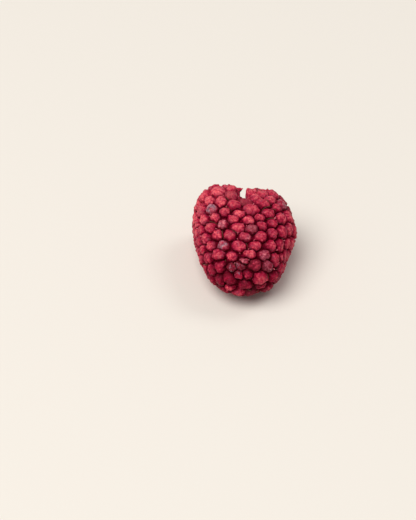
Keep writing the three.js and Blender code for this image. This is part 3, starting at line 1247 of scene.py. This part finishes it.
def flesh_colour(n):
    """Painted light on tops and painted shade in valleys, with blotches, and deeper on some."""
    blotches = n.spread(n.mottle, NOISE_RANGE, (-MOTTLE_SHADE, MOTTLE_SHADE))
    blotches = n.times(blotches, n.spread(n.dark, FULL_RANGE, (1.0, 1.3)))
    shade = n.plus(n.times(n.level, PAINTED_LIGHT_SHADE), blotches)
    shade = n.plus(shade, n.spread(n.patches, NOISE_RANGE, (-PATCH_SHADE, PATCH_SHADE)))
    shade = n.minus(shade, n.times(n.dark, DARK_SHADE))
    deeper = n.times(n.spread(n.attribute("tone"), FULL_RANGE, (0.0, 0.45)), n.tops)
    return n.mix(deeper, n.ramp(shade, FLESH), DEEPER_TONE)


def add_painted_crease_shade(n, colour):
    """Thin dark lines of painted shade, as in fine creases of the skin."""
    off_line = n.math("ABSOLUTE", n.minus(n.noise(n.mm, *CREASED), NOISE_MIDDLE))
    line = n.spread(off_line, (0.0, 0.06), (0.7, 0.0))
    return n.mix(n.times(line, n.spread(n.grain, (0.35, 0.6), (0.2, 1.0))), colour, CREASE_SHADE)


def add_frost(n, colour):
    """A greyish film in patches, but hardly where shade is painted on the berry."""
    moved = n.add("Mapping", {"Vector": n.mm, "Location": (7.3, 2.1, 5.5)}).outputs[0]
    frost = n.spread(n.noise(moved, *FILM), (0.50, 0.66), (0.0, 0.5))
    frost = n.times(frost, n.spread(n.level, (0.2, 0.5), FULL_RANGE))
    frost = n.times(frost, n.spread(n.dark, (0.0, 0.8), (1.0, 0.35)))
    return n.mix(frost, colour, FROST)


def add_bloom_and_highlight(n, colour):
    """The pale lilac veil over a few drupelets, its lightest patches painted highlight."""
    veil_and_highlight = n.times(n.attribute("pale"), n.tops)
    veil_and_highlight = n.times(veil_and_highlight, n.spread(n.patches, (0.38, 0.56), (0.1, 0.95)))
    return n.mix(veil_and_highlight, colour, n.ramp(n.mottle, BLOOM_AND_HIGHLIGHT))


def add_dullness_and_hollow_shade(n, colour):
    """The brown of a few dried-out drupelets, and painted shade on sunken ones at the tip."""
    dull = n.times(n.attribute("dull"), n.spread(n.patches, (0.3, 0.65), (0.4, 0.9)))
    return n.mix(dull, colour, DULL_BROWN_AND_HOLLOW_SHADE)


def add_glints(n, colour):
    """Small painted lilac glints on the glossiest drupelets."""
    glint_mask = n.spread(n.glossy, (0.9, 1.0), FULL_RANGE)
    glints = n.times(n.spread(n.noise(n.mm, *FLECKS), (0.54, 0.70), (0.0, 0.7)), glint_mask)
    return n.mix(n.times(glints, n.tops), colour, GLINT)


def skin_material():
    n = SkinNodes()
    colour = flesh_colour(n)
    for add_layer in (add_painted_crease_shade, add_frost, add_bloom_and_highlight, add_dullness_and_hollow_shade, add_glints):
        colour = add_layer(n, colour)
    roughness = n.spread(n.level, (0.1, 0.8), (0.85, 0.5))
    roughness = n.plus(roughness, n.spread(n.mottle, NOISE_RANGE, (-0.10, 0.10)))
    roughness = n.minus(roughness, n.times(n.glossy, 0.32))
    relief = n.plus(n.mottle, n.times(n.grain, 0.25))
    return n.finish(
        Base_Color=colour, Roughness=roughness, Normal=n.bump(relief, 0.7, 0.14),
        Subsurface_Weight=0.3, Subsurface_Radius=(1.0, 0.3, 0.25),
        Subsurface_Scale=0.35 * MM, Specular_IOR_Level=0.055,
    )


def style_material():
    n = Nodes("dried_styles")
    fibre = n.noise(n.millimetres(), *FIBRE)
    place = n.plus(n.attribute("share"), n.spread(fibre, NOISE_RANGE, (-0.2, 0.2)))
    colour = n.mix(n.attribute("pink"), n.ramp(place, OLIVE), n.ramp(place, STUB_PINK))
    return n.finish(
        Base_Color=colour, Roughness=n.spread(fibre, NOISE_RANGE, (0.4, 0.65)),
        Normal=n.bump(fibre, 0.5, 0.03), Subsurface_Weight=0.1,
        Subsurface_Radius=(1.0, 0.4, 0.25), Subsurface_Scale=0.3 * MM,
    )


def floor_material():
    return Nodes("pale_floor").finish(Base_Color=(*CREAM, 1), Roughness=0.9)


berry.data.materials.append(skin_material())
styles.data.materials.append(style_material())

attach(berry, "root")
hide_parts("berry")
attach(styles, "root")


# ---- Floor, camera and light, in metres ----

FLOOR_HALF = 1.5

# The camera looks down on the berry's axis this steeply.
VIEW_PITCH = 50
VIEW_ELEVATION = math.radians(VIEW_PITCH - REST_PITCH)
LENS = 150.0
SENSOR = 36.0
NEAREST_SEEN = 0.01
# The photo's size and scale, and where in it the berry's middle lies.
IMAGE_WIDTH, IMAGE_HEIGHT = 416, 520
MM_PER_PIXEL = 0.1722
BERRY_PIXEL = (244.5, 241.0)

DAYLIGHT = (1.0, 0.985, 0.96)
WHITE = (1.0, 1.0, 1.0)
LIGHT_DISTANCE = 1.0
SKY_STRENGTH = 0.28

box_low, box_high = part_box("berry")
berry_middle = (box_low + box_high) / 2


def add_floor():
    corners = [(-1, -1), (1, -1), (1, 1), (-1, 1)]
    mesh = bpy.data.meshes.new("floor")
    mesh.from_pydata([(x * FLOOR_HALF, y * FLOOR_HALF, 0) for x, y in corners], [], [(0, 1, 2, 3)])
    mesh.materials.append(floor_material())
    return add_object("floor", mesh)


def aim(made, away):
    """Turns an object to look back along a direction."""
    made.rotation_mode = "QUATERNION"
    made.rotation_quaternion = (-away).to_track_quat("-Z", "Y")


def add_camera():
    back = Vector((0, -math.cos(VIEW_ELEVATION), math.sin(VIEW_ELEVATION)))
    up = Vector((0, math.sin(VIEW_ELEVATION), math.cos(VIEW_ELEVATION)))
    right = Vector((1, 0, 0))
    pixel = MM_PER_PIXEL * MM
    distance = IMAGE_HEIGHT * pixel * LENS / SENSOR
    camera = add_object("camera", bpy.data.cameras.new("camera"))
    camera.data.lens = LENS
    camera.data.sensor_width = SENSOR
    camera.data.clip_start = NEAREST_SEEN
    camera.location = (
        berry_middle + back * distance - right * (BERRY_PIXEL[0] - IMAGE_WIDTH / 2) * pixel
        + up * (BERRY_PIXEL[1] - IMAGE_HEIGHT / 2) * pixel
    )
    aim(camera, back)
    return camera


def add_light(name, direction, size, watts, colour):
    light = bpy.data.lights.new(name, "AREA")
    light.shape = "DISK"
    light.size = size
    light.energy = watts
    light.color = colour
    made = add_object(name, light)
    made.location = berry_middle + Vector(direction).normalized() * LIGHT_DISTANCE
    aim(made, Vector(direction))


def add_sky():
    world = bpy.data.worlds.new("studio")
    world.use_nodes = True
    background = world.node_tree.nodes["Background"]
    background.inputs["Color"].default_value = (*DAYLIGHT, 1)
    background.inputs["Strength"].default_value = SKY_STRENGTH
    return world


add_floor()
bpy.context.scene.camera = add_camera()
add_light("key", (-0.35, -0.3, 1.0), size=0.84, watts=9.6, colour=DAYLIGHT)
add_light("rim", (0.6, 0.3, 0.9), size=0.4, watts=1.6, colour=WHITE)
bpy.context.scene.world = add_sky()
bpy.context.scene.view_settings.view_transform = "Standard"
